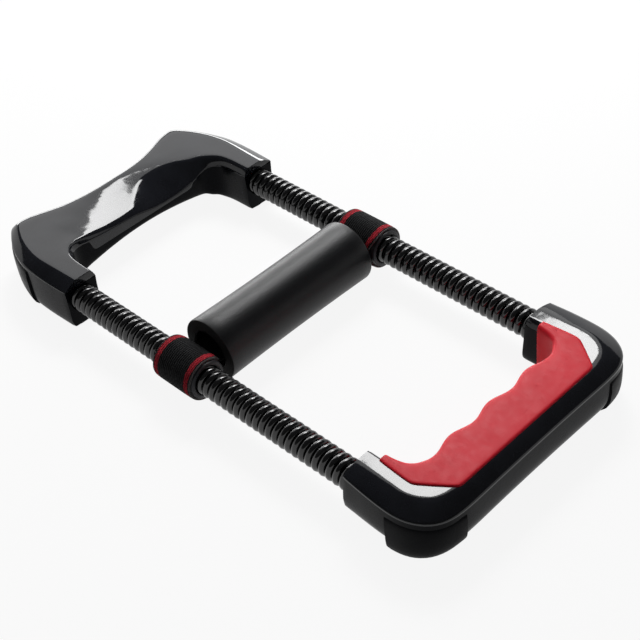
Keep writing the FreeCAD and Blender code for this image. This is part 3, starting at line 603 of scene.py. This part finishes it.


# ---------------------------------------------------------------- webbing
# One woven strap, 25 mm wide: a loop round each sleeve and a gathered run through the foam. Its
# weave is ribbed, with a red stripe beside each selvedge and a pale line at the rim painted as the
# edge's highlight.
STRAP_HALF = 12.5
STRAP_THICK = 1.35
STRAP_LAY = 9.72
STRAP_COLUMNS = 24
RUN_HALF = 9
RUN_START = 34
RUN_ROWS = 13
LOOP_ROWS = 61
LOOP_REACH = 168
GATHER_START = 113
STRIPE_INSIDE = 9.0
STRIPE_OUTSIDE = 11.4
RIB_PITCH = 1.15
WEFT_PITCH = 0.62


def smooth_share(value):
    value = min(max(value, 0), 1)
    return value * value * (3 - 2 * value)


def strap_path(sign):
    """Out of the foam, once round the sleeve and back into the foam. Each row is its middle, its
    direction away from the sleeve and its half width."""
    rows = []
    for n in range(RUN_ROWS):
        spot = Vector((0, (RUN_START + n) * sign, SPRING_HEIGHT + 0.1))
        rows.append((spot, Vector((0, 0, 1)), RUN_HALF))
    for n in range(LOOP_ROWS):
        degrees = -LOOP_REACH + 2 * LOOP_REACH * n / (LOOP_ROWS - 1)
        angle = math.radians(degrees)
        away = Vector((0, math.cos(angle) * sign, -math.sin(angle)))
        spot = Vector((0, SPRING_SIDE * sign, SPRING_HEIGHT)) + away * STRAP_LAY
        # the edges draw in where the loop closes
        gathered = smooth_share((abs(degrees) - GATHER_START) / (LOOP_REACH - GATHER_START)) * 0.6
        rows.append((spot, away, STRAP_HALF + (RUN_HALF - STRAP_HALF) * gathered))
    for n in range(RUN_ROWS):
        spot = Vector((0, (RUN_START + RUN_ROWS - 1 - n) * sign, SPRING_HEIGHT - 0.1))
        rows.append((spot, Vector((0, 0, -1)), RUN_HALF))
    return rows


def strap_length(rows):
    return sum((b[0] - a[0]).length for a, b in zip(rows, rows[1:]))


def maths(material, kind, first, second=0.0):
    """Add a Math node. Each operand is a number or an output of another node."""
    made = add_node(material, "ShaderNodeMath", {"operation": kind})
    for socket, value in zip(made.inputs, (first, second)):
        if isinstance(value, bpy.types.NodeSocket):
            material.node_tree.links.new(value, socket)
        else:
            socket.default_value = value
    return made.outputs[0]


def step(material, value, low, high):
    """0 up to low and 1 from high on, with a smooth rise between them."""
    return remap(material, value, (low, high), (0, 1), "SMOOTHSTEP")


def webbing(length):
    """Ribbed black weave with red stripes, on the strap's own map: across it, then along it."""
    material = new_material("webbing", (0.004, 0.004, 0.005), 0.8, 0.06)
    shader = material.node_tree.nodes["Principled BSDF"]
    shader.inputs["Sheen Weight"].default_value = 0.04
    shader.inputs["Sheen Roughness"].default_value = 0.5
    weave_map = add_node(material, "ShaderNodeUVMap", {"uv_map": "weave"}).outputs[0]
    parts = add_node(material, "ShaderNodeSeparateXYZ", Vector=weave_map)
    off_middle = maths(material, "SUBTRACT", parts.outputs[0], 0.5)
    across = maths(material, "MULTIPLY", off_middle, STRAP_HALF * 2)
    along = maths(material, "MULTIPLY", parts.outputs[1], length)
    off_centre = maths(material, "ABSOLUTE", across)
    wander = spread(material, noise(material, 700, 2), -0.25, 0.25)
    edge_place = maths(material, "ADD", off_centre, wander)
    inside = step(material, edge_place, STRIPE_INSIDE - 0.3, STRIPE_INSIDE + 0.2)
    outside = step(material, edge_place, STRIPE_OUTSIDE + 0.3, STRIPE_OUTSIDE - 0.2)
    stripe = maths(material, "MULTIPLY", inside, outside)
    # a pale line along each selvedge, painted as the highlight of the strap's edge
    painted_rim_highlight = step(material, off_centre, STRAP_HALF - 0.5, STRAP_HALF - 0.2)
    # in the foam the edges of the gathered run are folded in
    off_top = maths(material, "ABSOLUTE", maths(material, "SUBTRACT", parts.outputs[1], 0.5))
    loop = step(material, off_top, 0.345, 0.31)
    stripe = maths(material, "MULTIPLY", stripe, loop)
    painted_rim_highlight = maths(material, "MULTIPLY", painted_rim_highlight, loop)
    # warp ribs run along the strap, and the finer weft crosses them
    warp = maths(material, "MULTIPLY", across, 2 * math.pi / RIB_PITCH)
    ribs = maths(material, "ADD", maths(material, "SINE", warp), 1.0)
    weft = maths(material, "MULTIPLY", along, 2 * math.pi / WEFT_PITCH)
    half_weft = maths(material, "MULTIPLY", maths(material, "SINE", weft), 0.5)
    weave = maths(material, "MULTIPLY", ribs, maths(material, "ADD", half_weft, 1.0))
    tops = step(material, weave, 0.9, 3.0)
    fluff = spread(material, noise(material, 1400, 3), 0, 1)
    painted_rib_light = maths(material, "MULTIPLY", tops, fluff)
    # The rib tops are painted lighter, as a painted highlight, and the grooves between them near
    # black, as painted shade. The fluff adds random tone to this.
    ground = mix_colours(material, painted_rib_light, (0.001, 0.001, 0.0015), (0.03, 0.034, 0.036))
    red = mix_colours(material, fluff, (0.16, 0.008, 0.014), (0.5, 0.02, 0.035))
    tone = mix_colours(material, stripe, ground, red)
    # the pale rim line is a painted highlight of the edge
    tone = mix_colours(material, painted_rim_highlight, tone, (0.14, 0.13, 0.13))
    set_socket(material, "Base Color", tone)
    height = maths(material, "ADD", weave, maths(material, "MULTIPLY", fluff, 0.7))
    add_bump(material, height, 0.00012)
    return material


def strap(name, rows, sign):
    """A flat grid laid along the rows and given its thickness, which keeps the grid's own map."""
    bpy.ops.mesh.primitive_grid_add(
        x_subdivisions=STRAP_COLUMNS, y_subdivisions=len(rows) - 1, size=0.1
    )
    piece = bpy.context.object
    piece.data.uv_layers[0].name = "weave"
    bpy.ops.object.mode_set(mode="EDIT")
    shape = bmesh.from_edit_mesh(piece.data)
    for number, vert in enumerate(shape.verts):
        spot, away, half = rows[number // (STRAP_COLUMNS + 1)]
        share = number % (STRAP_COLUMNS + 1) / STRAP_COLUMNS * 2 - 1
        # the selvedges lie a little closer
        lift = -0.2 * abs(share) ** 8
        vert.co = (spot + away * lift + Vector((ROLLER_PLACE + share * half, 0, 0))) * MM
    bmesh.update_edit_mesh(piece.data)
    bpy.ops.object.mode_set(mode="OBJECT")
    add_modifier(
        piece, "SOLIDIFY", thickness=STRAP_THICK * MM, offset=sign, use_even_offset=True
    )
    bpy.ops.object.mode_set(mode="EDIT")
    bpy.ops.mesh.select_all(action="SELECT")
    bpy.ops.mesh.normals_make_consistent(inside=False)
    bpy.ops.object.mode_set(mode="OBJECT")
    add_modifier(piece, "BEVEL", width=0.3 * MM, segments=2, angle_limit=math.radians(60))
    bpy.ops.object.shade_smooth_by_angle(angle=math.radians(40))
    set_down(piece, name)
    return piece


WEBBING = webbing(strap_length(strap_path(1)))
for side, sign in SIDES:
    band = strap(f"strap_{side}", strap_path(sign), sign)
    band.data.materials.append(WEBBING)
    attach(band, "roller_carriage")
    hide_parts("roller_strap")


# ---------------------------------------------------------------- foam roller
# A tube of dense dark foam, cut square at its ends and a little thinner at its middle. It lies on
# the wrist and turns on the gathered webbing.
FOAM_HALF = 46.5
FOAM_HEIGHT = 16.4
FOAM_RADIUS = 16.2
FOAM_WAIST = 0.5
FOAM_BORE = 10


def foam():
    """Closed-cell foam: soft, even, with fine pores. Its cut ends are open pores, and darker."""
    material = new_material("foam", (0.006, 0.0062, 0.0075), 0.4, 0.26)
    share = spread(material, noise(material, 70, 3), 0, 1)
    skin = mix_colours(material, share, (0.0045, 0.005, 0.006), (0.0075, 0.008, 0.0095))
    # the ends are told by how far along the tube they are
    place = add_node(material, "ShaderNodeTexCoord").outputs["Object"]
    parts = add_node(material, "ShaderNodeSeparateXYZ", Vector=place)
    off_middle = maths(material, "ABSOLUTE", parts.outputs[1])
    cut = ((FOAM_HALF - 0.5) * MM, (FOAM_HALF - 0.15) * MM)
    end = remap(material, off_middle, cut, (0, 1))
    set_socket(material, "Base Color", mix_colours(material, end, skin, (0.001, 0.001, 0.0012)))
    set_socket(material, "Roughness", remap(material, end, (0, 1), (0.4, 0.95)))
    add_bump(material, noise(material, 2200, 3), 0.00008)
    return material


shares = [n / 8 - 1 for n in range(17)]
outline = [
    (FOAM_BORE, -FOAM_HALF + 0.4),
    (FOAM_BORE + 0.4, -FOAM_HALF),
    (FOAM_RADIUS - 0.9, -FOAM_HALF),
    (FOAM_RADIUS - 0.25, -FOAM_HALF + 0.25),
    *((FOAM_RADIUS - FOAM_WAIST * (1 - t * t), t * (FOAM_HALF - 1)) for t in shares),
    (FOAM_RADIUS - 0.25, FOAM_HALF - 0.25),
    (FOAM_RADIUS - 0.9, FOAM_HALF),
    (FOAM_BORE + 0.4, FOAM_HALF),
    (FOAM_BORE, FOAM_HALF - 0.4),
]
roller = spin("roller_foam", outline, (ROLLER_PLACE, 0, FOAM_HEIGHT), (0, 1, 0))
roller.data.materials.append(foam())
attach(roller, "roller")
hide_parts("foam_roller")


# ---------------------------------------------------------------- hand grip shells
# Two glossy black mouldings like those of the arm rest. A wide slope runs round the outside of the
# upper one, and a flat band lies between it and the rubber.
GRIP_TOP = 27.6
FACE_LEAN = 2.6
# The outer and inner line, the height of the seam, the width of the slope and the underside.
GRIP_STATIONS = [
    {"outer": outer, "inner": inner, "seam": seam, "slope": slope, "low": low}
    for outer, inner, seam, slope, low in (
        ((GRIP_FACE, 68.6), (GRIP_FACE, 50.5), 25.0, 8.6, 0.6),
        ((106, 69.1), (106, 50.5), 24.9, 8.9, 0.7),
        ((114, 69.9), (114, 50.8), 24.6, 9.4, 1.0),
        ((125, 70.5), (121, 50.8), 24.1, 9.7, 1.6),
        ((134, 70.0), (122.5, 49.5), 23.6, 9.6, 2.3),
        ((143.2, 65.8), (124, 46), 23.4, 9.1, 2.9),
        ((148.8, 58.4), (124.5, 42), 23.4, 7.9, 3.0),
        ((150.2, 48), (124.5, 38), 23.4, 6.8, 2.8),
        ((149.7, 30), (124.5, 28), 23.4, 6.1, 2.6),
        ((149.5, 0), (124.5, 0), 23.4, 6.1, 2.6),
    )
]


def grip_top_profile(s, sign):
    """The upper shell: a wide slope, a flat band, and a rounded edge at the hand gap."""
    seam, slope = s["seam"], s["slope"]
    return [
        (0, 0, seam - 0.8),
        (0, 0, seam + 0.2),
        (0, slope * 0.5, (seam + GRIP_TOP) / 2 + 0.55),
        (0, slope, GRIP_TOP),
        (0.72, 0, GRIP_TOP),
        (1, -2.4, GRIP_TOP),
        (1, -0.5, GRIP_TOP - 2.6),
        (1, 0, seam - 0.8),
        (0.8, 0, seam - 0.8),
        (0.2, 0, seam - 0.8),
    ]


def grip_bottom_profile(s, sign):
    """The lower shell: it draws in to its underside at the outside and less so at the inside."""
    top, low = s["seam"] - 0.95, s["low"]
    return [
        (0, 0.15, top),
        (0, 0.15, low + 8),
        (0, 1.2, low + 3.5),
        (0, 3.5, low + 0.3),
        (0.35, 0, low),
        (0.7, 0, low),
        (1, -1.6, low + 0.3),
        (1, 0, low + 2.2),
        (1, 0, top),
        (0.8, 0, top),
        (0.3, 0, top),
    ]


grip_top = extrude_rings(
    "grip_top", both_halves(GRIP_STATIONS, grip_top_profile),
    ((0, 1), (1, 0.6), (3, 0.6), (5, 0.5), (7, 1), (8, 1), (9, 1)),
)
grip_top.data.materials.append(LIT_LID_PLASTIC)
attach(grip_top, "hand_grip")
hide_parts("grip_upper_shell")

rings = both_halves(GRIP_STATIONS, grip_bottom_profile)
for end in (0, -1):
    # the socket faces lean out towards the roller at the bottom
    rings[end] = [(x - FACE_LEAN * (1 - z / GRIP_TOP), y, z) for x, y, z in rings[end]]
grip_bottom = extrude_rings("grip_bottom", rings, ((0, 1), (8, 1), (9, 1), (10, 1)))
cut_sockets(grip_bottom, GRIP_FACE)
grip_bottom.data.materials.append(SHADED_SHELL_PLASTIC)
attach(grip_bottom, "hand_grip")
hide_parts("grip_lower_shell")


# ---------------------------------------------------------------- hand grip pads and inner parts
# Rubber pads like those of the arm rest, lower at the top and with their soles set in further. The
# plugs, pins and screws are hidden in the shells.
GRIP_PAD_TOP = 20.5
GRIP_PAD_PROUD = 0.4
GRIP_CORNER = GRIP_STATIONS[3:8]
GRIP_SOLES = (0.8, 1.0, 2.2, 5, 8)

for side, sign in SIDES:
    pad = corner_pad(
        f"grip_corner_{side}", GRIP_CORNER, sign, GRIP_PAD_TOP, GRIP_SOLES, GRIP_PAD_PROUD
    )
    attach(pad, "hand_grip")
    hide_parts(f"grip_pad_{side}")
    dress(f"grip_plug_{side}", PLUG_PLASTIC)
dress("grip_pins", STEEL)
dress("grip_screws", STEEL)


# ---------------------------------------------------------------- finger grip
# Red rubber moulded over the inside of the hand grip: a flat plate with cut corners on top, and a
# wall with four finger grooves facing the roller.
FINGER_PITCH = 25
FINGER_DEPTH = 2.7
FINGER_LINE = 121.9
RUBBER_BACK = 143.2
RUBBER_TOP = 28.5
RUBBER_LOW = 3.4


def finger_edge(y):
    """Where the inner wall is: a ridge at the middle, and two grooves at each side of it."""
    return FINGER_LINE - FINGER_DEPTH / 2 * math.cos(2 * math.pi * y / FINGER_PITCH)


GROOVE_PLACES = [39 - n * FINGER_PITCH / 12 for n in range(19)]
RUBBER_STATIONS = [
    {"outer": outer, "inner": inner}
    for outer, inner in (
        ((108.5, 54.3), (108.5, 49.3)),
        ((109.5, 54.5), (109.5, 49.2)),
        ((116, 55.0), (113, 48.9)),
        ((126.5, 55.7), (117.2, 47.9)),
        ((128.5, 54.9), (119.2, 46.4)),
        ((135.5, 49.9), (120.8, 44.9)),
        ((142.2, 45.0), (121.8, 42.8)),
        ((RUBBER_BACK, 43.5), (finger_edge(41), 41.0)),
        *(((RUBBER_BACK, y), (finger_edge(y), y)) for y in GROOVE_PLACES),
        ((RUBBER_BACK, 0), (finger_edge(0), 0)),
    )
]


def rubber_profile(s, sign):
    """The plate on top, rounded at both edges, and the wall that hangs from it."""
    return [
        (0, 0, RUBBER_TOP - 2.2),
        (0, 0, RUBBER_TOP - 0.9),
        (0, 0.5, RUBBER_TOP - 0.15),
        (0, 1.6, RUBBER_TOP),
        (0.5, 0, RUBBER_TOP),
        (1, -1.3, RUBBER_TOP),
        (1, -0.1, RUBBER_TOP - 1.3),
        (1, 0, RUBBER_TOP - 4),
        (1, 0, RUBBER_LOW + 1),
        (1, -1, RUBBER_LOW),
        (1, -2.4, RUBBER_LOW),
        (1, -2.4, RUBBER_TOP - 4),
        (1, -3, RUBBER_TOP - 2.2),
    ]


def red_rubber():
    """Soft red rubber, satin, with a powdery grain."""
    material = new_material("red_rubber", (0.7, 0.018, 0.034), 0.42, 0.12)
    share = spread(material, noise(material, 45, 3), 0, 1)
    tone = mix_colours(material, share, (0.67, 0.016, 0.03), (0.74, 0.02, 0.038))
    set_socket(material, "Base Color", tone)
    set_socket(material, "Roughness", spread(material, noise(material, 260, 3), 0.38, 0.5))
    add_bump(material, noise(material, 1300, 3), 0.00004)
    return material


rubber = extrude_rings(
    "finger_rubber", both_halves(RUBBER_STATIONS, rubber_profile),
    ((0, 1), (1, 0.4), (9, 0.5), (10, 1), (11, 1), (12, 1)),
)
rubber.data.materials.append(red_rubber())
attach(rubber, "hand_grip")
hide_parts("finger_grip")


# ---------------------------------------------------------------- studio
# A white floor with a white wall round it, a dim room, a large soft light behind and above, a
# bright window in two parts and a low strip far to the left.
ROOM = 0.08
STAGE_RADIUS = 8000
STAGE_SIDES = 96
WALL_HEIGHT = 3000
GLOW = 0.9


def floor_paint():
    """Matt white. To the camera, and in what reflects or shows it, it glows as well, so that it
    looks white there and still holds the shadow of the object."""
    material = bpy.data.materials.new("floor_paint")
    material.use_nodes = True
    material.node_tree.nodes.clear()
    rays = add_node(material, "ShaderNodeLightPath").outputs
    seen = maths(material, "ADD", rays["Is Camera Ray"], rays["Is Glossy Ray"])
    seen = maths(material, "ADD", seen, rays["Is Transmission Ray"])
    matt = add_node(material, "ShaderNodeBsdfDiffuse", Color=(0.8, 0.8, 0.8, 1))
    glow = add_node(material, "ShaderNodeEmission", Color=(1, 1, 1, 1))
    painted = add_node(material, "ShaderNodeMixShader")
    mixed = (maths(material, "MULTIPLY", seen, GLOW), matt.outputs[0], glow.outputs[0])
    for socket, value in zip(painted.inputs, mixed):
        material.node_tree.links.new(value, socket)
    add_node(material, "ShaderNodeOutputMaterial", Surface=painted.outputs[0])
    return material


bpy.ops.mesh.primitive_circle_add(
    vertices=STAGE_SIDES, radius=STAGE_RADIUS * MM, fill_type="NOTHING"
)
wall = bpy.context.object
bpy.ops.object.mode_set(mode="EDIT")
bpy.ops.mesh.select_all(action="SELECT")
bpy.ops.mesh.extrude_region_move(TRANSFORM_OT_translate={"value": (0, 0, WALL_HEIGHT * MM)})
bpy.ops.object.mode_set(mode="OBJECT")
set_down(wall, "wall")
bpy.ops.mesh.primitive_circle_add(vertices=STAGE_SIDES, radius=STAGE_RADIUS * MM, fill_type="NGON")
floor = bpy.context.object
set_down(floor, "floor")
FLOOR_PAINT = floor_paint()
floor.data.materials.append(FLOOR_PAINT)
wall.data.materials.append(FLOOR_PAINT)

bpy.context.scene.view_settings.view_transform = "Standard"
world = bpy.data.worlds.new("room")
bpy.context.scene.world = world
world.use_nodes = True
background = world.node_tree.nodes["Background"]
background.inputs["Color"].default_value = (1, 1, 1, 1)
background.inputs["Strength"].default_value = ROOM


def soft_light(name, place, target, size, radiance):
    """A rectangular light that faces its target. radiance is how bright its face looks."""
    data = bpy.data.lights.new(name, "AREA")
    data.shape = "RECTANGLE"
    data.size = size[0] * MM
    data.size_y = size[1] * MM
    data.energy = radiance * math.pi * data.size * data.size_y
    light = bpy.data.objects.new(name, data)
    bpy.context.scene.collection.objects.link(light)
    light.location = Vector(place) * MM
    aim = Vector(target) - Vector(place)
    light.rotation_euler = aim.to_track_quat("-Z", "Y").to_euler()


soft_light("back_softbox", (-900, 760, 1050), (0, 0, 0), (1500, 1100), 2.1)
soft_light("window", (-220, 432, 600), (-220, 432, 0), (120, 335), 20)
soft_light("second_window", (-380, 395, 600), (-380, 395, 0), (200, 220), 18)
soft_light("low_strip", (-1500, 900, 200), (0, 0, 0), (1600, 500), 8)


bpy.context.view_layer.update()
